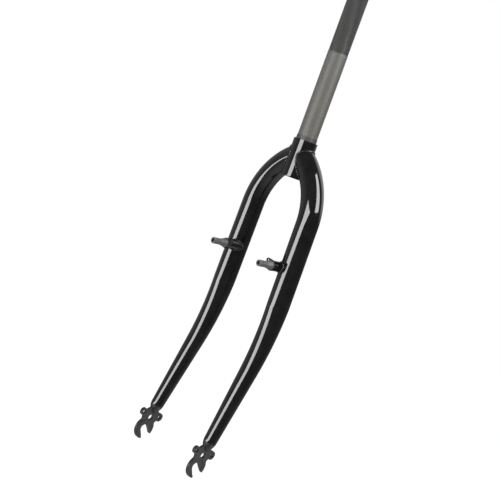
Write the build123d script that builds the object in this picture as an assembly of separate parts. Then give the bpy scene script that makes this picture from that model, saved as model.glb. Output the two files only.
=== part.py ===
# Rigid unicrown bicycle fork for a rim-braked wheel: two bent and tapered steel
# blades mitred and welded to the foot of a steerer tube, a flat hooked dropout in
# the end of each blade, and a brake boss with its spring plate and pivot stud.
#
# Frame, in millimetres: the origin is the centre of the shoulder under the crown
# race seat, +Z runs up the steering axis, -Y is the way the bicycle travels, and
# +X is the rider's left. The left side is modelled, and the right one mirrors it.

import os
from math import acos, atan2, cos, degrees, radians, sin, tan

from build123d import *

# Steerer tube
STEERER_DIAMETER = 25.4
STEERER_BORE = 22.2
STEERER_LENGTH = 215.0
STEERER_CHAMFER = 0.8
RACE_SEAT_DIAMETER = 26.4
RACE_SEAT_HEIGHT = 5.0
CROWN_DIAMETER = 30.8
CROWN_HEIGHT = 48.5
CROWN_ROUND = 0.8

# Overall geometry of the fork
CROWN_TO_AXLE = 416.0
AXLE_OFFSET = 46.9
HUB_SPACING = 100.0

# Blades
BLADE_DIAMETER = 28.6
BLADE_TIP_DIAMETER = 17.2
BLADE_WALL = 1.5
BLADE_ROOT_DEPTH = 17.0
BLADE_ROOT_ANGLE = 55.0
BLADE_ROOT_STRAIGHT = 11.7
BLADE_SPLAY = 0.9
RAKE_BEND_ANGLE = 15.0
RAKE_BEND_RADIUS = 346.0
RAKE_BEND_STATIONS = 4
TIP_DOME_LENGTH = 14.0
TIP_NOSE_RADIUS = 5.0

# Dropouts, with places given from the axle: rearward, then upward
DROPOUT_THICKNESS = 3.6
DROPOUT_DISC_DIAMETER = 29.4
DISC_SETBACK = 1.7
AXLE_SEAT_DIAMETER = 22.4
AXLE_SEAT_STEP = 0.6
BLADE_END_PLACE = (10.9, 35.1)
FRONT_EYELET_PLACE = (-8.6, 22.8)
FRONT_EYELET_LOBE = 10.0
REAR_EYELET_PLACE = (20.9, 14.9)
REAR_EYELET_LOBE = 11.4
EYELET_HOLE = 5.0
AXLE_SLOT_WIDTH = 10.8
AXLE_SLOT_ANGLE = 28.0
SLOT_FLARE_ANGLE = 10.0
FRONT_SHOULDER_PLACE = (-6.5, 11.0)
REAR_SHOULDER_PLACE = (12.5, 4.5)
DRAIN_HOLE_PLACE = (5.5, 15.1)
DRAIN_HOLE = 7.6
NECK_DROP = 7.0
TANG_WIDTH = 11.0
TANG_DEPTH = 11.0
DROPOUT_INNER_ROUND = 2.0
DROPOUT_TIP_ROUND = 1.2

# Brake bosses, spring plates and pivot studs
BOSS_TO_AXLE = 261.6
BOSS_SPACING = 82.8
BOSS_FACE_REACH = 28.4
BOSS_DIAMETER = 12.8
SPRING_PLATE_DIAMETER = 13.4
SPRING_PLATE_THICKNESS = 2.0
SPRING_HOLE = 2.8
SPRING_HOLE_REACH = 8.6
SPRING_EAR_ANGLE = 147.0
SPRING_EAR_RIM = 1.2
STUD_SEAT_DIAMETER = 11.6
STUD_SEAT_HEIGHT = 2.0
STUD_FLARE_HEIGHT = 8.0
PIVOT_DIAMETER = 8.0
PIVOT_LENGTH = 13.3
PIVOT_CHAMFER = 0.6
BOLT_HOLE = 5.0
BOLT_HOLE_DEPTH = 13.0
SHANK_DIAMETER = 7.0
SHANK_LENGTH = 13.0
SHANK_CLEARANCE = 0.05
SHANK_END_GAP = 1.0

# Places worked out from the sizes above
LEFT = Vector(1, 0, 0)
FORWARD = Vector(0, -1, 0)
UP = Vector(0, 0, 1)
AXLE = FORWARD * AXLE_OFFSET - UP * CROWN_TO_AXLE
PLATE_INNER_FACE = HUB_SPACING / 2 + AXLE_SEAT_STEP
DROPOUT_MIDDLE = PLATE_INNER_FACE + DROPOUT_THICKNESS / 2
BLADE_END = (
    LEFT * DROPOUT_MIDDLE
    + AXLE
    - FORWARD * BLADE_END_PLACE[0]
    + UP * BLADE_END_PLACE[1]
)
BOSS_HEIGHT = BOSS_TO_AXLE - CROWN_TO_AXLE


def blade_stations():
    """Points and ways of the blade's centre line, from the steering axis to its end."""
    root = radians(BLADE_ROOT_ANGLE)
    splay = radians(BLADE_SPLAY)
    rake = radians(RAKE_BEND_ANGLE)
    root_way = LEFT * sin(root) - UP * cos(root)
    down_way = LEFT * sin(splay) - UP * cos(splay)
    start = UP * -BLADE_ROOT_DEPTH
    bend_start = start + root_way * BLADE_ROOT_STRAIGHT
    # The crown bend's radius brings the splayed run out over the dropout
    reach = BLADE_END.X - bend_start.X - (bend_start.Z - BLADE_END.Z) * tan(splay)
    radius = reach / (cos(splay) - cos(root) - (sin(root) - sin(splay)) * tan(splay))
    bend_centre = bend_start - (LEFT * cos(root) + UP * sin(root)) * radius
    bend_end = bend_centre + (LEFT * cos(splay) + UP * sin(splay)) * radius
    # The straight run is what the crown bend, the rake bend and the tip leave over
    run = (bend_end.Z - BLADE_END.Z) / cos(splay)
    lead = BLADE_END.Y * FORWARD.Y
    tip_run = (lead - RAKE_BEND_RADIUS * (1 - cos(rake))) / sin(rake)
    straight = run - RAKE_BEND_RADIUS * sin(rake) - tip_run * cos(rake)
    rake_start = bend_end + down_way * straight

    def on_rake_bend(angle):
        along = down_way * (RAKE_BEND_RADIUS * sin(angle))
        return rake_start + along + FORWARD * (RAKE_BEND_RADIUS * (1 - cos(angle)))

    def rake_way(angle):
        return down_way * cos(angle) + FORWARD * sin(angle)

    rake_angles = [rake * i / (RAKE_BEND_STATIONS - 1) for i in range(RAKE_BEND_STATIONS)]
    return {
        "start": start,
        "root_way": root_way,
        "bend_start": bend_start,
        "bend_centre": bend_centre,
        "bend_end": bend_end,
        "down_way": down_way,
        "straight": straight,
        "rake_points": [on_rake_bend(angle) for angle in rake_angles],
        "rake_ways": [rake_way(angle) for angle in rake_angles],
        "rake_lengths": [RAKE_BEND_RADIUS * angle for angle in rake_angles],
        "tip_run": tip_run,
    }


STATIONS = blade_stations()
TIP_WAY = STATIONS["rake_ways"][-1]


def disc_across(point, way, radius):
    """A round section with its centre at a point, square to a direction."""
    return Plane(origin=point, z_dir=way) * Circle(radius)


def blade_solid(inset):
    """The blade's form from the steering axis to its end, drawn in by an inset."""
    wide = BLADE_DIAMETER / 2 - inset
    narrow = BLADE_TIP_DIAMETER / 2 - inset
    root = extrude(disc_across(STATIONS["start"], STATIONS["root_way"], wide), BLADE_ROOT_STRAIGHT)
    crown_bend = revolve(
        disc_across(STATIONS["bend_start"], STATIONS["root_way"], wide),
        Axis(STATIONS["bend_centre"], -FORWARD),
        BLADE_ROOT_ANGLE - BLADE_SPLAY,
    )
    run = extrude(disc_across(STATIONS["bend_end"], STATIONS["down_way"], wide), STATIONS["straight"])
    taper_length = STATIONS["rake_lengths"][-1] + STATIONS["tip_run"]
    radii = [wide + (narrow - wide) * length / taper_length for length in STATIONS["rake_lengths"]]
    rake_bend = loft([
        disc_across(point, way, radius)
        for point, way, radius in zip(STATIONS["rake_points"], STATIONS["rake_ways"], radii)
    ])
    tip = Plane(origin=STATIONS["rake_points"][-1], z_dir=TIP_WAY) * Cone(
        radii[-1], narrow, STATIONS["tip_run"], align=(Align.CENTER, Align.CENTER, Align.MIN)
    )
    return root + crown_bend + run + rake_bend + tip


def tip_dome():
    """The rounded end that closes the blade over its dropout."""
    wall = BLADE_TIP_DIAMETER / 2
    nose = TIP_NOSE_RADIUS
    nose_height = TIP_DOME_LENGTH - nose
    # The side arc leaves the blade's wall along it and runs into the nose without a corner
    side = (nose_height**2 + wall**2 - nose**2) / (2 * (wall - nose))
    turn = degrees(atan2(nose_height, side - wall))
    half_section = make_face(
        Line((0, 0), (wall, 0))
        + CenterArc((wall - side, 0), side, 0, turn)
        + CenterArc((0, nose_height), nose, turn, 90 - turn)
        + Line((0, TIP_DOME_LENGTH), (0, 0))
    )
    return Plane(origin=BLADE_END, z_dir=TIP_WAY) * revolve(Plane.XZ * half_section, Axis.Z)


def steerer_tube():
    outer = STEERER_DIAMETER / 2
    seat = RACE_SEAT_DIAMETER / 2
    crown = CROWN_DIAMETER / 2
    profile = Polyline(
        (STEERER_BORE / 2, -CROWN_HEIGHT),
        (crown, -CROWN_HEIGHT),
        (crown, 0),
        (seat, 0),
        (seat, RACE_SEAT_HEIGHT),
        (outer, RACE_SEAT_HEIGHT),
        (outer, STEERER_LENGTH),
        (STEERER_BORE / 2, STEERER_LENGTH),
        close=True,
    )
    tube = revolve(Plane.XZ * make_face(profile), Axis.Z)
    rims = tube.edges().filter_by(GeomType.CIRCLE)
    top_rim = rims.filter_by_position(Axis.Z, STEERER_LENGTH, STEERER_LENGTH).sort_by(SortBy.RADIUS)[-1]
    tube = chamfer(top_rim, STEERER_CHAMFER)
    rims = tube.edges().filter_by(GeomType.CIRCLE)
    foot_rim = rims.filter_by_position(Axis.Z, -CROWN_HEIGHT, -CROWN_HEIGHT).sort_by(SortBy.RADIUS)[-1]
    return fillet(foot_rim, CROWN_ROUND)


def rounded_inside(plate, way, radius):
    """A plate with the inner corners of its outline rounded off."""
    corners = plate.edges().filter_by(way)
    return fillet(corners.filter_by(lambda edge: edge.is_interior), radius)


def dropout_plane(x):
    """The plane of a dropout's outline at an x, with its origin at the axle."""
    return Plane(origin=AXLE + LEFT * x, x_dir=-FORWARD, z_dir=LEFT)


def dropout():
    """The flat fork end, drawn from the axle with rearward and upward as its axes."""
    end = Vector(*BLADE_END_PLACE)
    front = Vector(*FRONT_EYELET_PLACE)
    rear = Vector(*REAR_EYELET_PLACE)
    disc = DROPOUT_DISC_DIAMETER / 2
    rake = radians(RAKE_BEND_ANGLE)
    tang_up = Vector(sin(rake), cos(rake))
    tang_across = Vector(cos(rake), -sin(rake)) * (TANG_WIDTH / 2)
    neck = end - tang_up * NECK_DROP
    web = Polygon(
        FRONT_SHOULDER_PLACE,
        (0, 0),
        REAR_SHOULDER_PLACE,
        rear,
        neck + tang_across,
        neck - tang_across,
        front,
        align=None,
    )
    outline = (
        web
        + Pos(DISC_SETBACK, 0) * Circle(disc)
        + Pos(front) * Circle(FRONT_EYELET_LOBE / 2)
        + Pos(rear) * Circle(REAR_EYELET_LOBE / 2)
    )
    half_slot = AXLE_SLOT_WIDTH / 2
    slot_end = 2 * disc
    flare_gain = slot_end * tan(radians(SLOT_FLARE_ANGLE))
    mouth = Polygon(
        (half_slot, 0),
        (-half_slot, 0),
        (-half_slot, -slot_end),
        (half_slot + flare_gain, -slot_end),
        align=None,
    )
    slot = Rot(0, 0, AXLE_SLOT_ANGLE) * (Circle(half_slot) + mouth)
    inner_face = dropout_plane(PLATE_INNER_FACE)
    plate = extrude(inner_face * (outline - slot), DROPOUT_THICKNESS)
    plate = rounded_inside(plate, Axis.X, DROPOUT_INNER_ROUND)
    # The two lowest corners are the tips on either side of the axle slot
    plate = fillet(plate.edges().filter_by(Axis.X).sort_by(Axis.Z)[:2], DROPOUT_TIP_ROUND)
    tang = Polygon(
        neck - tang_across,
        neck + tang_across,
        neck + tang_across + tang_up * TANG_DEPTH,
        neck - tang_across + tang_up * TANG_DEPTH,
        align=None,
    )
    plate += extrude(inner_face * tang, DROPOUT_THICKNESS)
    cuts = Pos(*DRAIN_HOLE_PLACE) * Circle(DRAIN_HOLE / 2)
    for place in (front, rear):
        cuts += Pos(place) * Circle(EYELET_HOLE / 2)
    plate -= extrude(inner_face * cuts, DROPOUT_THICKNESS)
    # The seat round the axle is pressed inward: a land inside and a recess outside
    seat = Circle(AXLE_SEAT_DIAMETER / 2)
    land_face = dropout_plane(HUB_SPACING / 2)
    recess_floor = dropout_plane(HUB_SPACING / 2 + DROPOUT_THICKNESS)
    plate += extrude(land_face * (seat - slot), AXLE_SEAT_STEP)
    return plate - extrude(recess_floor * seat, AXLE_SEAT_STEP)


def boss_plane(reach):
    """The plane square to a brake boss, a reach ahead of the steering axis."""
    place = LEFT * (BOSS_SPACING / 2) + UP * BOSS_HEIGHT + FORWARD * reach
    return Plane(origin=place, x_dir=LEFT, z_dir=FORWARD)


PLATE_FACE_REACH = BOSS_FACE_REACH + SPRING_PLATE_THICKNESS
SHANK_HOLE = SHANK_DIAMETER + 2 * SHANK_CLEARANCE


def brake_boss(blade_form):
    base = extrude(boss_plane(0) * Circle(BOSS_DIAMETER / 2), BOSS_FACE_REACH)
    hole_depth = SHANK_LENGTH - SPRING_PLATE_THICKNESS + SHANK_END_GAP
    hole = extrude(boss_plane(BOSS_FACE_REACH) * Circle(SHANK_HOLE / 2), -hole_depth)
    return base - blade_form - hole


def spring_plate():
    """A round washer with one tapered ear, which has a hole for the brake's spring."""
    disc = SPRING_PLATE_DIAMETER / 2
    ear = SPRING_HOLE / 2 + SPRING_EAR_RIM
    ear_angle = radians(SPRING_EAR_ANGLE)
    ear_place = Vector(cos(ear_angle), sin(ear_angle)) * SPRING_HOLE_REACH
    # The ear's sides touch both the washer's rim and the rim round the hole
    spread = acos((disc - ear) / SPRING_HOLE_REACH)
    after = Vector(cos(ear_angle + spread), sin(ear_angle + spread))
    before = Vector(cos(ear_angle - spread), sin(ear_angle - spread))
    sides = Polygon(
        before * disc,
        before * ear + ear_place,
        after * ear + ear_place,
        after * disc,
        align=None,
    )
    outline = Circle(disc) + sides + Pos(ear_place) * Circle(ear)
    cuts = Circle(SHANK_HOLE / 2) + Pos(ear_place) * Circle(SPRING_HOLE / 2)
    return extrude(boss_plane(BOSS_FACE_REACH) * (outline - cuts), SPRING_PLATE_THICKNESS)


def brake_stud():
    shank = SHANK_DIAMETER / 2
    seat = STUD_SEAT_DIAMETER / 2
    pivot = PIVOT_DIAMETER / 2
    bolt = BOLT_HOLE / 2
    flare_start = STUD_SEAT_HEIGHT
    pivot_start = flare_start + STUD_FLARE_HEIGHT
    tip = pivot_start + PIVOT_LENGTH
    profile = Polyline(
        (0, -SHANK_LENGTH),
        (shank, -SHANK_LENGTH),
        (shank, 0),
        (seat, 0),
        (seat, flare_start),
        (pivot, pivot_start),
        (pivot, tip - PIVOT_CHAMFER),
        (pivot - PIVOT_CHAMFER, tip),
        (bolt, tip),
        (bolt, tip - BOLT_HOLE_DEPTH),
        (0, tip - BOLT_HOLE_DEPTH),
        close=True,
    )
    return boss_plane(PLATE_FACE_REACH) * revolve(Plane.XZ * make_face(profile), Axis.Z)


def left_side():
    """The pieces of the rider's left side, by name."""
    plate = dropout()
    blade_form = blade_solid(0) + tip_dome()
    crown_cut = Pos(0, 0, -CROWN_TO_AXLE) * Cylinder(
        CROWN_DIAMETER / 2, CROWN_TO_AXLE, align=(Align.CENTER, Align.CENTER, Align.MIN)
    )
    blade = blade_form - blade_solid(BLADE_WALL) - crown_cut - plate
    return {
        "blade": blade,
        "dropout": plate,
        "brake_boss": brake_boss(blade_form),
        "spring_plate": spring_plate(),
        "brake_stud": brake_stud(),
    }


def write_parts():
    os.makedirs("parts", exist_ok=True)
    export_step(steerer_tube(), "parts/steerer_tube.step")
    for name, shape in left_side().items():
        export_step(shape, f"parts/left_{name}.step")
        export_step(mirror(shape, about=Plane.YZ), f"parts/right_{name}.step")


write_parts()
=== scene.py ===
import math

import bpy
import numpy as np
from mathutils import Matrix, Vector


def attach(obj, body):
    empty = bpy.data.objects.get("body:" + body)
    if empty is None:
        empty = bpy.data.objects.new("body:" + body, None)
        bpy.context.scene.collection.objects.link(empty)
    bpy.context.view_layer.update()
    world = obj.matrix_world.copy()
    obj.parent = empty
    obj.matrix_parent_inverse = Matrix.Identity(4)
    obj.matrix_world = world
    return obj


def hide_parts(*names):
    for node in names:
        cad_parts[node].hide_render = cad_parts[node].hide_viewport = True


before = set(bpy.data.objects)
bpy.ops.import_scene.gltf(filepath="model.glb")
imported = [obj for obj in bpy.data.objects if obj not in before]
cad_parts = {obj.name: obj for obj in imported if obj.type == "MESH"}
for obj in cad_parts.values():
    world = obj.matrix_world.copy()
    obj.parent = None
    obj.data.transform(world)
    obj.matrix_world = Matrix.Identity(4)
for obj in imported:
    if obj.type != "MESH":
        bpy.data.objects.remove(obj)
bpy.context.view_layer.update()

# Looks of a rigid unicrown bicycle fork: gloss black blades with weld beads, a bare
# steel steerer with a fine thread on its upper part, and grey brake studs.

BODY = "root"
MM = 0.001
SIDES = {"left": 1, "right": -1}

# Steerer, in millimetres from the shoulder under the crown race seat
STEERER_RADIUS = 12.7
STEERER_TOP = 215.0
TOP_CHAMFER = 0.8
BORE_RADIUS = 11.1
BORE_CHAMFER = 0.3
SEAT_RADIUS = 13.2
SEAT_TOP = 5.0
SEAT_CHAMFER = 0.2
PLAIN_START = SEAT_TOP + 0.3
PLAIN_ROWS = 40
CROWN_RADIUS = 15.39
CROWN_FOOT = -48.5
CROWN_ROUND = 0.8
CROWN_ROUND_ROWS = 6
CROWN_WALL_START = CROWN_FOOT + 2.0
CROWN_WALL_ROWS = 24
SHOULDER_CHAMFER = 0.1
THREAD_START = 112.0
THREAD_PITCH = 1.058
THREAD_DEPTH = 0.55
THREAD_RUNOUT = 2.0
THREAD_ROWS_PER_TURN = 6
STEERER_COLUMNS = 96
STEERER_SHARP = math.radians(35.0)
PAINTED, BARE, THREADED, SEATED = range(4)

# Blade centre line and skin, in millimetres
BLADE_END = np.array([52.4, -36.0, -380.9])
BLADE_RADIUS = 14.28
TIP_RADIUS = 8.6
TIP_DOME = 14.0
TIP_NOSE = 5.0
ROOT_DEPTH = 17.0
ROOT_ANGLE = math.radians(55.0)
ROOT_STRAIGHT = 11.7
SPLAY = math.radians(0.9)
RAKE_ANGLE = math.radians(15.0)
RAKE_RADIUS = 346.0
BLADE_COLUMNS = 96
BLADE_STEP = 2.0
MITRE_ROWS = 36
MITRE_END = 70.0
MITRE_HALVINGS = 40
CAP_RADIUS = CROWN_RADIUS - 0.2
CAP_SHARES = (0.25, 0.5, 0.75)
DOME_ROWS = 8
DOME_SATIN = 4.0
GLOSS, SATIN = range(2)

# Brake boss and dropout, in millimetres
BOSS_X = 41.4
BOSS_Z = -154.4
BOSS_RADIUS = 6.4
PLATE_HALF = 1.8

# Weld beads, in millimetres
CROWN_BEAD = 1.4
CROWN_BEAD_REACH = 15.3
CROWN_BEAD_POINTS = 240
BOSS_BEAD = 1.4
BOSS_BEAD_LIFT = 0.5
BOSS_BEAD_POINTS = 120
DROPOUT_BEAD = 1.0
DROPOUT_BEAD_START = 7.5
DROPOUT_BEAD_POINTS = 40
BEAD_PITCH = 2.2
BEAD_RIPPLE = 0.3
BEAD_MEAN = 0.78
BEAD_BLUNT = 0.1
BEAD_COLUMNS = 14
BEAD_STEP = 0.3
BEAD_LEAST_ROWS = 8
BEAD_GUIDE = Vector((0.3, 1.0, 0.2))
BEAD_OTHER_GUIDE = Vector((1.0, 0.2, 0.3))
BEAD_GUIDE_LIMIT = 0.8

# Softened edges of the CAD pieces that show as they are, in millimetres
PLATE_EDGE = 0.35
BOSS_EDGE = 0.3
STUD_EDGE = 0.15
EDGE_SEGMENTS = 2
EDGE_ANGLE = math.radians(40.0)

# Materials: colours from dark to pale, roughness from low to high, sizes of the patterns
PAINT_DARK, PAINT_PALE = (0.005, 0.005, 0.0055), (0.009, 0.009, 0.0095)
PAINT_ROUGHNESS = (0.04, 0.07)
PAINT_IOR = 1.5
CLOUD_SCALE, CLOUD_DETAIL = 60.0, 3.0
PEEL_SCALE, PEEL_DETAIL = 420.0, 1.0
PEEL_BUMP = (0.012, 0.0002)
# Satin paint colours: painted shade on the dropouts' edges, painted light on their flat faces,
# chosen by which way the surface faces
SATIN_EDGE_SHADE, SATIN_FACE_LIGHT = (0.008, 0.008, 0.0085), (0.052, 0.052, 0.053)
SATIN_SHADE_TURN = (0.8, 0.99)
SATIN_ROUGHNESS = (0.38, 0.5)
GRAIN_SCALE, GRAIN_DETAIL = 220.0, 3.0
GRAIN_BUMP = (0.05, 0.0002)
STEEL_ROUGHNESS = (0.49, 0.61)
STEEL_METALLIC = 0.15
STREAK_SCALE, STREAK_DETAIL = 700.0, 3.0
STREAK_TURN = (0.35, 0.65)
STREAK_BUMP = (0.06, 0.0001)
EVEN = (1.0, 1.0, 1.0)
UPRIGHT = (1.0, 1.0, 0.02)
ENDWAYS = (1.0, 0.05, 1.0)

# Camera, solved from the photograph, in millimetres
CAMERA_AZIMUTH = math.radians(41.42)
CAMERA_ELEVATION = math.radians(7.02)
CAMERA_ROLL = math.radians(20.02)
CAMERA_DISTANCE = 1205.03
CAMERA_TARGET = np.array([0.0, 0.0, -152.5])
CAMERA_SLIDE = (17.52, -7.13)
CAMERA_LENS = 69.02
CAMERA_CLIP = (0.01, 100.0)
SENSOR = 36.0

# Studio: angles in degrees right of the camera and up from level, lengths in millimetres
RIGHT = np.array([math.cos(CAMERA_AZIMUTH), math.sin(CAMERA_AZIMUTH), 0.0])
TOWARDS = np.array([math.sin(CAMERA_AZIMUTH), -math.cos(CAMERA_AZIMUTH), 0.0])
STUDIO_MIDDLE = np.array([0.0, 0.0, -150.0])
WORLD_SHOWN, WORLD_LIGHT = 1.0, 0.75
STRIP_DISTANCE = 2500.0
STRIP_GLOW = 12.0
STRIP_ROWS, STRIP_COLUMNS = 12, 8
STRIP_HIGH, STRIP_LOW = 330.0, -790.0
STRIP_LEFT_HIGH, STRIP_LEFT_LOW = -43.0, -83.0
STRIP_WIDTH = 35.0
BOX_MIDDLE = np.array([30.0, 0.0, -60.0])
BOX_DISTANCE = 1100.0
BOX_GLOW = 12.0
BOX_LEFT, BOX_RIGHT = 38.0, 76.0
BOX_LOW, BOX_HIGH = 14.0, 60.0
BOX_STEPS = 8
SURROUND_DISTANCE = 3000.0
SURROUND_STEP = 6
SURROUND_LEFT = ((-180, -85, -60, 180), (0.45, 0.4, 0.13, 0.13))
SURROUND_RIGHT = ((95, 125, 180), (0.0, 1.8, 0.45))
SURROUND_RIGHT_RISE = ((0, 12, 45, 60), (0.0, 1.0, 1.0, 0.0))
SURROUND_BELOW = ((-90, -50, -20, -10), (0.8, 0.75, 0.3, 0.0))
KEY_ANGLE, KEY_HEIGHT = -35.0, 40.0
KEY_DISTANCE = 2200.0
KEY_SIZE = 1200.0
KEY_POWER = 30.0
FLOOR_HEIGHT = -850.0
FLOOR_HALF = 4000.0
FLOOR_PLAIN, FLOOR_SHADED = 0.8, 0.4
FLOOR_GLOW = 0.72


# Meshes

def add_mesh(name, points, faces, materials, face_materials=None):
    """A smooth mesh object from points in millimetres."""
    mesh = bpy.data.meshes.new(name)
    mesh.from_pydata([tuple(p * MM) for p in points], [], faces)
    for material in materials:
        mesh.materials.append(material)
    if face_materials is not None:
        mesh.polygons.foreach_set("material_index", face_materials)
    mesh.polygons.foreach_set("use_smooth", [True] * len(mesh.polygons))
    mesh.validate()
    mesh.update()
    piece = bpy.data.objects.new(name, mesh)
    bpy.context.scene.collection.objects.link(piece)
    return piece


def grid_faces(rows, columns, closed_rows=False):
    """Quads of a grid whose columns close round on themselves."""
    faces = []
    for i in range(rows if closed_rows else rows - 1):
        here = i * columns
        there = (i + 1) % rows * columns
        for j in range(columns):
            k = (j + 1) % columns
            faces.append((here + j, here + k, there + k, there + j))
    return faces


def fan(points, row, columns, centre, flip=False):
    """Triangles from one row of a grid to a point, which is added to the points."""
    points.append(centre)
    hub = len(points) - 1
    first = row * columns
    ring = [(first + j, first + (j + 1) % columns, hub) for j in range(columns)]
    return [face[::-1] for face in ring] if flip else ring


def mirrored(points, faces, side):
    """The left side's mesh, or its mirror image on the right."""
    if side > 0:
        return points, faces
    points = np.array(points) * np.array([-1.0, 1.0, 1.0])
    return points, [face[::-1] for face in faces]


def turn_angles(count):
    """Angles evenly spaced round a full turn."""
    return [2 * math.pi * j / count for j in range(count)]


def round_point(radius, angle, height):
    """A point at a distance from the steering axis."""
    return np.array([radius * math.cos(angle), radius * math.sin(angle), height])


# Blades

class BladeLine:
    """The left blade's centre line, measured from the steering axis."""

    def __init__(self):
        self.down = np.array([math.sin(SPLAY), 0.0, -math.cos(SPLAY)])
        self.side = np.array([math.cos(SPLAY), 0.0, math.sin(SPLAY)])
        self.forward = np.array([0.0, -1.0, 0.0])
        self.root_way = np.array([math.sin(ROOT_ANGLE), 0.0, -math.cos(ROOT_ANGLE)])
        self.start = np.array([0.0, 0.0, -ROOT_DEPTH])
        self.bend_start = self.start + self.root_way * ROOT_STRAIGHT
        rise = self.bend_start[2] - BLADE_END[2]
        reach = BLADE_END[0] - self.bend_start[0] - rise * math.tan(SPLAY)
        turn = math.cos(SPLAY) - math.cos(ROOT_ANGLE)
        drop = (math.sin(ROOT_ANGLE) - math.sin(SPLAY)) * math.tan(SPLAY)
        self.radius = reach / (turn - drop)
        self.bend_length = self.radius * (ROOT_ANGLE - SPLAY)
        self.bend_end = self.on_bend(SPLAY)
        run = (self.bend_end[2] - BLADE_END[2]) / math.cos(SPLAY)
        lead = -BLADE_END[1]
        rake_lead = RAKE_RADIUS * (1 - math.cos(RAKE_ANGLE))
        rake_drop = RAKE_RADIUS * math.sin(RAKE_ANGLE)
        self.tip_run = (lead - rake_lead) / math.sin(RAKE_ANGLE)
        self.straight = run - rake_drop - self.tip_run * math.cos(RAKE_ANGLE)
        self.rake_start = self.bend_end + self.down * self.straight
        self.s_bend = ROOT_STRAIGHT
        self.s_straight = self.s_bend + self.bend_length
        self.s_rake = self.s_straight + self.straight
        self.s_tip = self.s_rake + RAKE_RADIUS * RAKE_ANGLE
        self.s_end = self.s_tip + self.tip_run
        # The rounded end's side arc leaves the wall along it and runs into the nose
        self.nose_height = TIP_DOME - TIP_NOSE
        squares = self.nose_height ** 2 + TIP_RADIUS ** 2 - TIP_NOSE ** 2
        self.side_arc = squares / (2 * (TIP_RADIUS - TIP_NOSE))
        self.dome_turn = math.atan2(self.nose_height, self.side_arc - TIP_RADIUS)

    def on_bend(self, angle):
        across = self.radius * (math.cos(angle) - math.cos(ROOT_ANGLE))
        down = self.radius * (math.sin(ROOT_ANGLE) - math.sin(angle))
        return self.bend_start + np.array([across, 0.0, -down])

    def at(self, s):
        """The point, the way along, and the two ways across at an arc length."""
        if s < self.s_bend:
            angle, point = ROOT_ANGLE, self.start + self.root_way * s
        elif s < self.s_straight:
            angle = ROOT_ANGLE - (s - self.s_bend) / self.radius
            point = self.on_bend(angle)
        else:
            angle, point = SPLAY, self.bend_end + self.down * (s - self.s_straight)
        if s <= self.s_rake:
            way = np.array([math.sin(angle), 0.0, -math.cos(angle)])
            outward = np.array([math.cos(angle), 0.0, math.sin(angle)])
            return point, way, outward, self.forward
        turn = min((s - self.s_rake) / RAKE_RADIUS, RAKE_ANGLE)
        way = self.down * math.cos(turn) + self.forward * math.sin(turn)
        point = (
            self.rake_start
            + self.down * (RAKE_RADIUS * math.sin(turn))
            + self.forward * (RAKE_RADIUS * (1 - math.cos(turn)))
            + way * max(0.0, s - self.s_tip)
        )
        ahead = self.forward * math.cos(turn) - self.down * math.sin(turn)
        return point, way, self.side, ahead

    def section_radius(self, s):
        if s <= self.s_rake:
            return BLADE_RADIUS
        if s <= self.s_end:
            share = (s - self.s_rake) / (self.s_end - self.s_rake)
            return BLADE_RADIUS + (TIP_RADIUS - BLADE_RADIUS) * share
        height = min(s - self.s_end, TIP_DOME)
        if height <= self.side_arc * math.sin(self.dome_turn):
            return TIP_RADIUS - self.side_arc + math.sqrt(self.side_arc ** 2 - height ** 2)
        return math.sqrt(max(0.0, TIP_NOSE ** 2 - (height - self.nose_height) ** 2))

    def dome_heights(self):
        """Heights of the rings down the rounded end, as far as its apex."""
        heights = []
        for i in range(1, DOME_ROWS + 1):
            heights.append(self.side_arc * math.sin(self.dome_turn * i / DOME_ROWS))
        for i in range(1, DOME_ROWS):
            turn = self.dome_turn + (math.pi / 2 - self.dome_turn) * i / DOME_ROWS
            heights.append(self.nose_height + TIP_NOSE * math.sin(turn))
        return heights

    def surface(self, s, angle):
        point, _, outward, ahead = self.at(s)
        across = outward * math.cos(angle) + ahead * math.sin(angle)
        return point + across * self.section_radius(s)

    def mitre(self, angle, radius):
        """Arc length at which a line along the blade leaves a cylinder round the axis."""
        low, high = 0.0, MITRE_END
        for _ in range(MITRE_HALVINGS):
            middle = (low + high) / 2
            point = self.surface(middle, angle)
            if math.hypot(point[0], point[1]) < radius:
                low = middle
            else:
                high = middle
        return high


LINE = BladeLine()


def cap_middle(loop):
    return round_point(CAP_RADIUS, 0.0, sum(p[2] for p in loop) / len(loop))


def mitre_cap(loop):
    """Rows that close the mitred end, lying just inside the crown's outer wall."""
    middle = cap_middle(loop)[2]
    rows = []
    for share in CAP_SHARES:
        row = []
        for p in loop:
            angle = math.atan2(p[1], p[0]) * share
            row.append(round_point(CAP_RADIUS, angle, middle + (p[2] - middle) * share))
        rows.append(row)
    return rows


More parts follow.
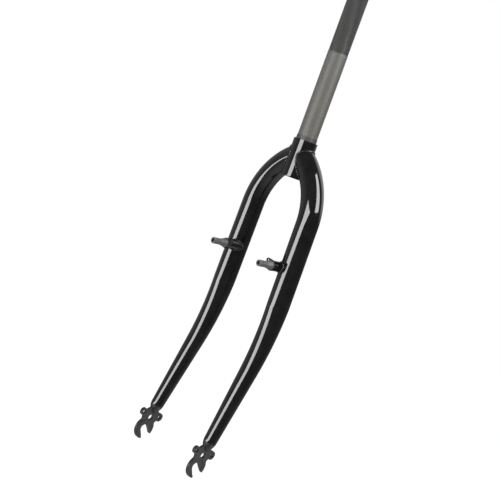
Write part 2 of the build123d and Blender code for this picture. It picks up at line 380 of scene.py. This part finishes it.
def blade(side_name, side, paint, end_paint_shaded):
    """A blade's closed skin: a cap in the crown's wall, the tube and its rounded end."""
    angles = turn_angles(BLADE_COLUMNS)
    starts = [LINE.mitre(a, CAP_RADIUS) for a in angles]
    rows = []
    for i in range(MITRE_ROWS):
        share = i / MITRE_ROWS
        lengths = [s + (MITRE_END - s) * share for s in starts]
        rows.append([LINE.surface(s, a) for s, a in zip(lengths, angles)])
    count = math.ceil((LINE.s_end - MITRE_END) / BLADE_STEP)
    lengths = list(np.linspace(MITRE_END, LINE.s_end, count + 1))
    lengths += [LINE.s_end + height for height in LINE.dome_heights()]
    for s in lengths:
        rows.append([LINE.surface(s, a) for a in angles])
    grid = mitre_cap(rows[0]) + rows
    points = [p for row in grid for p in row]
    faces = grid_faces(len(grid), BLADE_COLUMNS)
    faces += fan(points, 0, BLADE_COLUMNS, cap_middle(rows[0]), flip=True)
    end, way, _, _ = LINE.at(LINE.s_end)
    faces += fan(points, len(grid) - 1, BLADE_COLUMNS, end + way * TIP_DOME)
    points, faces = mirrored(points, faces, side)
    # Past DOME_SATIN the rounded end takes the satin paint: painted light and shade on what is
    # the blade's own gloss black paint
    satin = sum(1 for s in lengths if s > LINE.s_end + DOME_SATIN) * BLADE_COLUMNS
    gloss = (len(grid) - 1) * BLADE_COLUMNS - satin
    finish = [GLOSS] * gloss + [SATIN] * satin
    finish += [GLOSS] * BLADE_COLUMNS + [SATIN] * BLADE_COLUMNS
    piece = add_mesh(f"{side_name}_blade_skin", points, faces, [paint, end_paint_shaded], finish)
    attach(piece, BODY)
    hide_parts(f"{side_name}_blade")


# Weld beads

def resampled(loop, closed):
    """Points evenly spaced along a line of points, and how far along each one is."""
    loop = np.array(loop)
    if closed:
        loop = np.vstack([loop, loop[:1]])
    lengths = np.r_[0.0, np.cumsum(np.linalg.norm(np.diff(loop, axis=0), axis=1))]
    count = max(BEAD_LEAST_ROWS, math.ceil(lengths[-1] / BEAD_STEP))
    along = np.linspace(0.0, lengths[-1], count + 1)
    spaced = np.column_stack([np.interp(along, lengths, loop[:, k]) for k in range(3)])
    return (spaced[:-1], along[:-1]) if closed else (spaced, along)


def bead(name, lines, radius, paint, side):
    """Rippled beads along lines of points, each line with a flag for a closed loop."""
    points, faces = [], []
    for line, closed in lines:
        spine, along = resampled(line, closed)
        count = len(spine)
        ahead = np.roll(spine, -1, axis=0) - np.roll(spine, 1, axis=0)
        if not closed:
            ahead[0] = spine[1] - spine[0]
            ahead[-1] = spine[-1] - spine[-2]
        ahead /= np.linalg.norm(ahead, axis=1)[:, None]
        start = len(points)
        for i in range(count):
            phase = along[i] / BEAD_PITCH % 1.0
            swell = 1 + BEAD_RIPPLE * (math.sqrt(1 - phase * phase) - BEAD_MEAN)
            if not closed:
                to_end = min(along[i], along[-1] - along[i])
                swell *= math.sqrt(min(1.0, (to_end + BEAD_BLUNT) / (2 * radius)))
            guide = BEAD_GUIDE if abs(ahead[i][1]) < BEAD_GUIDE_LIMIT else BEAD_OTHER_GUIDE
            first = np.array(Vector(ahead[i]).cross(guide).normalized())
            second = np.cross(ahead[i], first)
            for a in turn_angles(BEAD_COLUMNS):
                way = first * math.cos(a) + second * math.sin(a)
                points.append(spine[i] + way * radius * swell)
        tube = grid_faces(count, BEAD_COLUMNS, closed_rows=closed)
        faces += [tuple(start + k for k in face) for face in tube]
        if not closed:
            faces.append(tuple(start + j for j in range(BEAD_COLUMNS))[::-1])
            last = start + (count - 1) * BEAD_COLUMNS
            faces.append(tuple(last + j for j in range(BEAD_COLUMNS)))
    points, faces = mirrored(points, faces, side)
    piece = add_mesh(name, points, faces, [paint])
    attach(piece, BODY)


def crown_bead_line():
    """Where the blade's skin meets the crown, kept within the crown's front and back."""
    inset = CROWN_BEAD_REACH - CROWN_BEAD * (1 + BEAD_RIPPLE)
    line = []
    for angle in turn_angles(CROWN_BEAD_POINTS):
        point = LINE.surface(LINE.mitre(angle, CROWN_RADIUS), angle)
        point[1] = max(-inset, min(inset, point[1]))
        line.append(point)
    return line


def boss_bead_line():
    """Where the boss meets the front of the blade."""
    s_boss = LINE.s_straight + (LINE.bend_end[2] - BOSS_Z) / math.cos(SPLAY)
    blade_x = LINE.at(s_boss)[0][0]
    line = []
    for angle in turn_angles(BOSS_BEAD_POINTS):
        x = BOSS_X + BOSS_RADIUS * math.cos(angle)
        z = BOSS_Z + BOSS_RADIUS * math.sin(angle)
        y = -math.sqrt(BLADE_RADIUS ** 2 - (x - blade_x) ** 2) - BOSS_BEAD_LIFT
        line.append(np.array([x, y, z]))
    return line


def dropout_bead_lines():
    """One line on each face of the plate, down one side of the blade's end and up the other."""
    lines = []
    deepest = LINE.s_end + LINE.nose_height + math.sqrt(TIP_NOSE ** 2 - PLATE_HALF ** 2)
    shallowest = LINE.s_end + DROPOUT_BEAD_START
    for face in (PLATE_HALF, -PLATE_HALF):
        down, up = [], []
        for s in np.linspace(shallowest, deepest, DROPOUT_BEAD_POINTS):
            point, _, outward, ahead = LINE.at(s)
            width = math.sqrt(max(0.0, LINE.section_radius(s) ** 2 - face * face))
            down.append(point + outward * face + ahead * width)
            up.append(point + outward * face - ahead * width)
        lines.append((down + up[::-1], False))
    return lines


# Steerer

def steerer_profile():
    """Radius, height and finish of each step up the outside of the steerer to its thread."""
    steps = []
    for i in range(CROWN_ROUND_ROWS + 1):
        a = math.pi / 2 * i / CROWN_ROUND_ROWS
        radius = CROWN_RADIUS - CROWN_ROUND * (1 - math.sin(a))
        steps.append((radius, CROWN_FOOT + CROWN_ROUND * (1 - math.cos(a)), PAINTED))
    wall = np.linspace(CROWN_WALL_START, -SHOULDER_CHAMFER, CROWN_WALL_ROWS)
    steps += [(CROWN_RADIUS, z, PAINTED) for z in wall]
    steps += [(CROWN_RADIUS - SHOULDER_CHAMFER, 0.0, PAINTED), (SEAT_RADIUS, 0.0, PAINTED)]
    steps += [
        (SEAT_RADIUS, SEAT_TOP - SEAT_CHAMFER, SEATED),
        (SEAT_RADIUS - SEAT_CHAMFER, SEAT_TOP, SEATED),
        (STEERER_RADIUS, SEAT_TOP, SEATED),
    ]
    plain = np.linspace(PLAIN_START, THREAD_START, PLAIN_ROWS)
    steps += [(STEERER_RADIUS, z, BARE) for z in plain]
    return steps


def thread_radius(angle, height):
    """The threaded part's radius, with the thread's run-in below and a chamfer on top."""
    turn = (height / THREAD_PITCH - angle / (2 * math.pi)) % 1.0
    groove = abs(2 * turn - 1)
    run_in = min(1.0, max(0.0, (height - THREAD_START) / THREAD_RUNOUT))
    chamfer = max(0.0, height - (STEERER_TOP - TOP_CHAMFER))
    return min(STEERER_RADIUS - THREAD_DEPTH * groove * run_in, STEERER_RADIUS - chamfer)


def steerer(materials):
    """The steerer's closed skin: up its outside, over the top and down its bore."""
    angles = turn_angles(STEERER_COLUMNS)
    rows, finish = [], []
    for radius, height, material in steerer_profile():
        rows.append([round_point(radius, a, height) for a in angles])
        finish.append(material)
    turns = (STEERER_TOP - THREAD_START) / THREAD_PITCH
    count = math.ceil(turns * THREAD_ROWS_PER_TURN)
    for height in np.linspace(THREAD_START, STEERER_TOP, count + 1)[1:]:
        rows.append([round_point(thread_radius(a, height), a, height) for a in angles])
        finish.append(THREADED)
    for radius, height in (
        (BORE_RADIUS + BORE_CHAMFER, STEERER_TOP),
        (BORE_RADIUS, STEERER_TOP - BORE_CHAMFER),
        (BORE_RADIUS, CROWN_FOOT + BORE_CHAMFER),
        (BORE_RADIUS + BORE_CHAMFER, CROWN_FOOT),
    ):
        rows.append([round_point(radius, a, height) for a in angles])
        finish.append(BARE)
    faces = grid_faces(len(rows), STEERER_COLUMNS, closed_rows=True)
    face_materials = [finish[(i + 1) % len(rows)] for i in range(len(rows)) for _ in angles]
    points = [p for row in rows for p in row]
    piece = add_mesh("steerer_tube_turned", points, faces, materials, face_materials)
    piece.data.set_sharp_from_angle(angle=STEERER_SHARP)
    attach(piece, BODY)
    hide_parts("steerer_tube")


# Materials

def new_material(name):
    material = bpy.data.materials.new(name)
    material.use_nodes = True
    nodes = material.node_tree.nodes
    return material, nodes, material.node_tree.links, nodes["Principled BSDF"]


def noise(nodes, links, scale, detail, stretch=EVEN):
    place = nodes.new("ShaderNodeTexCoord")
    mapping = nodes.new("ShaderNodeMapping")
    mapping.inputs["Scale"].default_value = stretch
    texture = nodes.new("ShaderNodeTexNoise")
    texture.inputs["Scale"].default_value = scale
    texture.inputs["Detail"].default_value = detail
    links.new(place.outputs["Object"], mapping.inputs["Vector"])
    links.new(mapping.outputs["Vector"], texture.inputs["Vector"])
    return texture.outputs["Fac"]


def ramp(nodes, links, value, low, high, turn=STREAK_TURN):
    """A colour ramp between two colours, driven by a value."""
    node = nodes.new("ShaderNodeValToRGB")
    for element, position, colour in zip(node.color_ramp.elements, turn, (low, high)):
        element.position = position
        element.color = (*colour, 1.0)
    links.new(value, node.inputs["Fac"])
    return node.outputs["Color"]


def spread(nodes, links, value, limits):
    """A value spread from the first limit to the second."""
    node = nodes.new("ShaderNodeMapRange")
    node.inputs["To Min"].default_value, node.inputs["To Max"].default_value = limits
    links.new(value, node.inputs["Value"])
    return node.outputs["Result"]


def bump(nodes, links, value, shader, strength, distance):
    node = nodes.new("ShaderNodeBump")
    node.inputs["Strength"].default_value = strength
    node.inputs["Distance"].default_value = distance
    links.new(value, node.inputs["Height"])
    links.new(node.outputs["Normal"], shader.inputs["Normal"])


def black_paint():
    """Gloss paint with a faint cloud in its colour and a trace of orange peel."""
    material, nodes, links, shader = new_material("gloss_black_paint")
    cloud = noise(nodes, links, CLOUD_SCALE, CLOUD_DETAIL)
    colour = ramp(nodes, links, cloud, PAINT_DARK, PAINT_PALE)
    links.new(colour, shader.inputs["Base Color"])
    links.new(spread(nodes, links, cloud, PAINT_ROUGHNESS), shader.inputs["Roughness"])
    shader.inputs["IOR"].default_value = PAINT_IOR
    peel = noise(nodes, links, PEEL_SCALE, PEEL_DETAIL)
    bump(nodes, links, peel, shader, *PEEL_BUMP)
    return material


def satin_paint_shaded():
    """Dropout paint with painted light and shade: flat faces that face sideways are painted
    paler as if lit, and the edges are painted darker as shade.
    """
    material, nodes, links, shader = new_material("satin_black_paint_shaded")
    place = nodes.new("ShaderNodeTexCoord")
    split = nodes.new("ShaderNodeSeparateXYZ")
    links.new(place.outputs["Normal"], split.inputs["Vector"])
    side = nodes.new("ShaderNodeMath")
    side.operation = "ABSOLUTE"
    links.new(split.outputs["X"], side.inputs[0])
    # Painted light on the side-facing flat faces and painted shade on the edges
    colour = ramp(nodes, links, side.outputs[0], SATIN_EDGE_SHADE, SATIN_FACE_LIGHT, SATIN_SHADE_TURN)
    links.new(colour, shader.inputs["Base Color"])
    grain = noise(nodes, links, GRAIN_SCALE, GRAIN_DETAIL)
    links.new(spread(nodes, links, grain, SATIN_ROUGHNESS), shader.inputs["Roughness"])
    bump(nodes, links, grain, shader, *GRAIN_BUMP)
    return material


def bare_steel(name, low, high, stretch):
    """Dull steel with fine streaks, which run the way that the pattern is stretched."""
    material, nodes, links, shader = new_material(name)
    streak = noise(nodes, links, STREAK_SCALE, STREAK_DETAIL, stretch)
    links.new(ramp(nodes, links, streak, low, high), shader.inputs["Base Color"])
    links.new(spread(nodes, links, streak, STEEL_ROUGHNESS), shader.inputs["Roughness"])
    shader.inputs["Metallic"].default_value = STEEL_METALLIC
    bump(nodes, links, streak, shader, *STREAK_BUMP)
    return material


PAINT = black_paint()
PLATE_PAINT_SHADED = satin_paint_shaded()
STEEL = bare_steel("bare_steel", (0.085, 0.083, 0.075), (0.112, 0.109, 0.099), UPRIGHT)
# The threaded steel is painted darker than the plain steel: painted shade for the shade of the
# thread's flanks
THREAD_STEEL_SHADED = bare_steel("threaded_steel_shaded", (0.058, 0.058, 0.057), (0.08, 0.08, 0.078), UPRIGHT)
SEAT_STEEL = bare_steel("seat_steel", (0.045, 0.044, 0.041), (0.058, 0.057, 0.053), UPRIGHT)
STUD_STEEL = bare_steel("stud_steel", (0.10, 0.10, 0.10), (0.125, 0.125, 0.125), ENDWAYS)


# Pieces

steerer([PAINT, STEEL, THREAD_STEEL_SHADED, SEAT_STEEL])
for side_name, side in SIDES.items():
    blade(side_name, side, PAINT, PLATE_PAINT_SHADED)
    bead(f"{side_name}_crown_weld", [(crown_bead_line(), True)], CROWN_BEAD, PAINT, side)
    bead(f"{side_name}_boss_weld", [(boss_bead_line(), True)], BOSS_BEAD, PAINT, side)
    bead(f"{side_name}_dropout_weld", dropout_bead_lines(), DROPOUT_BEAD, PAINT, side)

NODE_FINISH = {
    "dropout": (PLATE_PAINT_SHADED, PLATE_EDGE),
    "brake_boss": (PAINT, BOSS_EDGE),
    "spring_plate": (PAINT, BOSS_EDGE),
    "brake_stud": (STUD_STEEL, STUD_EDGE),
}
for side_name in SIDES:
    for part_name, (material, edge) in NODE_FINISH.items():
        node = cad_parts[f"{side_name}_{part_name}"]
        node.data.materials.clear()
        node.data.materials.append(material)
        soften = node.modifiers.new("soft_edges", "BEVEL")
        soften.width = edge * MM
        soften.segments = EDGE_SEGMENTS
        soften.limit_method = "ANGLE"
        soften.angle_limit = EDGE_ANGLE
        soften.harden_normals = True


# Studio: a white world, a pale floor, a soft key lamp, and for the paint to mirror a
# tall strip light, a soft box and a dim surround

def empty_tree(owner):
    """The node tree of a material or a world, with nothing in it."""
    owner.use_nodes = True
    owner.node_tree.nodes.clear()
    return owner.node_tree.nodes, owner.node_tree.links


def seen_by(nodes, links):
    """1 for rays from the camera, from reflections and through glass, and 0 for others."""
    path = nodes.new("ShaderNodeLightPath")
    total = path.outputs["Is Camera Ray"]
    for name in ("Is Glossy Ray", "Is Transmission Ray"):
        add = nodes.new("ShaderNodeMath")
        add.operation = "MAXIMUM"
        links.new(total, add.inputs[0])
        links.new(path.outputs[name], add.inputs[1])
        total = add.outputs[0]
    return total


def shown_or_lit(nodes, links, shown, lit, output):
    """One shader where it is seen, and another where it only gives light."""
    mix = nodes.new("ShaderNodeMixShader")
    links.new(seen_by(nodes, links), mix.inputs[0])
    links.new(lit.outputs[0], mix.inputs[1])
    links.new(shown.outputs[0], mix.inputs[2])
    links.new(mix.outputs[0], output.inputs["Surface"])


def white(nodes, strength):
    node = nodes.new("ShaderNodeBackground")
    node.inputs["Color"].default_value = (1.0, 1.0, 1.0, 1.0)
    node.inputs["Strength"].default_value = strength
    return node


def studio_world():
    world = bpy.data.worlds.new("studio")
    bpy.context.scene.world = world
    nodes, links = empty_tree(world)
    output = nodes.new("ShaderNodeOutputWorld")
    shown_or_lit(nodes, links, white(nodes, WORLD_SHOWN), white(nodes, WORLD_LIGHT), output)


def towards(angle, height):
    """The way from the object at an angle right of the camera and an angle of height."""
    a, e = math.radians(angle), math.radians(height)
    flat = TOWARDS * math.cos(a) + RIGHT * math.sin(a)
    return flat * math.cos(e) + np.array([0.0, 0.0, math.sin(e)])


def card(name, rows, glow):
    """A card through rows of points, seen only in reflections, with one glow or one by place."""
    points = [p for row in rows for p in row]
    columns = len(rows[0])
    faces = []
    for i in range(len(rows) - 1):
        for j in range(columns - 1):
            k = i * columns + j
            faces.append((k, k + 1, k + columns + 1, k + columns))
    material = bpy.data.materials.new(name)
    nodes, links = empty_tree(material)
    emission = nodes.new("ShaderNodeEmission")
    output = nodes.new("ShaderNodeOutputMaterial")
    links.new(emission.outputs[0], output.inputs["Surface"])
    piece = add_mesh(name, points, faces, [material])
    if callable(glow):
        tint = piece.data.color_attributes.new("glow", "FLOAT_COLOR", "POINT")
        colours = [(level, level, level, 1.0) for level in map(glow, points)]
        tint.data.foreach_set("color", [c for colour in colours for c in colour])
        source = nodes.new("ShaderNodeAttribute")
        source.attribute_name = "glow"
        links.new(source.outputs["Color"], emission.inputs["Color"])
        emission.inputs["Strength"].default_value = 1.0
    else:
        emission.inputs["Strength"].default_value = glow
    piece.visible_camera = False
    piece.visible_diffuse = False
    piece.visible_shadow = False
    piece.visible_transmission = False


def strip_card():
    """A tall strip light left of the camera, which leans away from it towards the floor."""
    rows = []
    for share in np.linspace(0.0, 1.0, STRIP_ROWS):
        height = STRIP_HIGH + (STRIP_LOW - STRIP_HIGH) * share
        left = STRIP_LEFT_HIGH + (STRIP_LEFT_LOW - STRIP_LEFT_HIGH) * share
        row = []
        for angle in np.linspace(left, left + STRIP_WIDTH, STRIP_COLUMNS):
            row.append(towards(angle, 0.0) * STRIP_DISTANCE + np.array([0.0, 0.0, height]))
        rows.append(row)
    card("strip_card", rows, STRIP_GLOW)


def soft_box():
    """A soft box high on the right of the camera."""
    heights = np.linspace(BOX_LOW, BOX_HIGH, BOX_STEPS)
    rows = []
    for angle in np.linspace(BOX_LEFT, BOX_RIGHT, BOX_STEPS):
        rows.append([towards(angle, h) * BOX_DISTANCE + BOX_MIDDLE for h in heights])
    card("soft_box", rows, BOX_GLOW)


def surround_glow(point):
    """Brightness of the dim surround: darkest ahead, paler behind and below."""
    way = (point - STUDIO_MIDDLE) / np.linalg.norm(point - STUDIO_MIDDLE)
    angle = math.degrees(math.atan2(way @ RIGHT, way @ TOWARDS))
    height = math.degrees(math.asin(max(-1.0, min(1.0, way[2]))))
    right = np.interp(angle, *SURROUND_RIGHT) * np.interp(height, *SURROUND_RIGHT_RISE)
    below = np.interp(height, *SURROUND_BELOW)
    return float(max(np.interp(angle, *SURROUND_LEFT), right, below))


def surround():
    """A dim globe round all of it, which the paint mirrors instead of the white world."""
    angles = range(-180, 181, SURROUND_STEP)
    rows = []
    for height in range(-90, 91, SURROUND_STEP):
        rows.append([towards(a, height) * SURROUND_DISTANCE + STUDIO_MIDDLE for a in angles])
    card("dim_surround", rows, surround_glow)


def key_lamp():
    """A large soft lamp high on the left of the camera, unseen in reflections."""
    lamp = bpy.data.lights.new("key", "AREA")
    lamp.shape = "SQUARE"
    lamp.size = KEY_SIZE * MM
    lamp.energy = KEY_POWER
    holder = bpy.data.objects.new("key", lamp)
    bpy.context.scene.collection.objects.link(holder)
    way = Vector(towards(KEY_ANGLE, KEY_HEIGHT))
    holder.location = Vector(STUDIO_MIDDLE * MM) + way * (KEY_DISTANCE * MM)
    holder.rotation_euler = way.to_track_quat("Z", "Y").to_euler()
    holder.visible_camera = False
    holder.visible_glossy = False


def diffuse(nodes, level):
    node = nodes.new("ShaderNodeBsdfDiffuse")
    node.inputs["Color"].default_value = (level, level, level, 1.0)
    return node


def floor():
    """A pale floor that shows as white and keeps the fork's shadow."""
    material = bpy.data.materials.new("pale_floor")
    nodes, links = empty_tree(material)
    glow = nodes.new("ShaderNodeEmission")
    glow.inputs["Strength"].default_value = FLOOR_GLOW
    add = nodes.new("ShaderNodeAddShader")
    links.new(diffuse(nodes, FLOOR_SHADED).outputs[0], add.inputs[0])
    links.new(glow.outputs[0], add.inputs[1])
    output = nodes.new("ShaderNodeOutputMaterial")
    shown_or_lit(nodes, links, add, diffuse(nodes, FLOOR_PLAIN), output)
    ways = ((-1, -1), (1, -1), (1, 1), (-1, 1))
    corners = [np.array([x * FLOOR_HALF, y * FLOOR_HALF, FLOOR_HEIGHT]) for x, y in ways]
    plane = add_mesh("floor", corners, [(0, 1, 2, 3)], [material])
    plane.visible_glossy = False


def camera():
    """The camera at the photograph's viewing angle."""
    data = bpy.data.cameras.new("camera")
    holder = bpy.data.objects.new("camera", data)
    bpy.context.scene.collection.objects.link(holder)
    rise = np.array([0.0, 0.0, math.sin(CAMERA_ELEVATION)])
    back = TOWARDS * math.cos(CAMERA_ELEVATION) + rise
    up = np.cross(back, RIGHT)
    across = RIGHT * math.cos(CAMERA_ROLL) + up * math.sin(CAMERA_ROLL)
    over = up * math.cos(CAMERA_ROLL) - RIGHT * math.sin(CAMERA_ROLL)
    slide = across * CAMERA_SLIDE[0] + over * CAMERA_SLIDE[1]
    place = CAMERA_TARGET + back * CAMERA_DISTANCE - slide
    turn = Matrix((across, over, back)).transposed().to_4x4()
    holder.matrix_world = Matrix.Translation(Vector(place * MM)) @ turn
    data.sensor_width = SENSOR
    data.lens = CAMERA_LENS
    data.clip_start, data.clip_end = CAMERA_CLIP
    bpy.context.scene.camera = holder


studio_world()
strip_card()
soft_box()
surround()
key_lamp()
floor()
camera()

bpy.context.scene.view_settings.view_transform = "Standard"
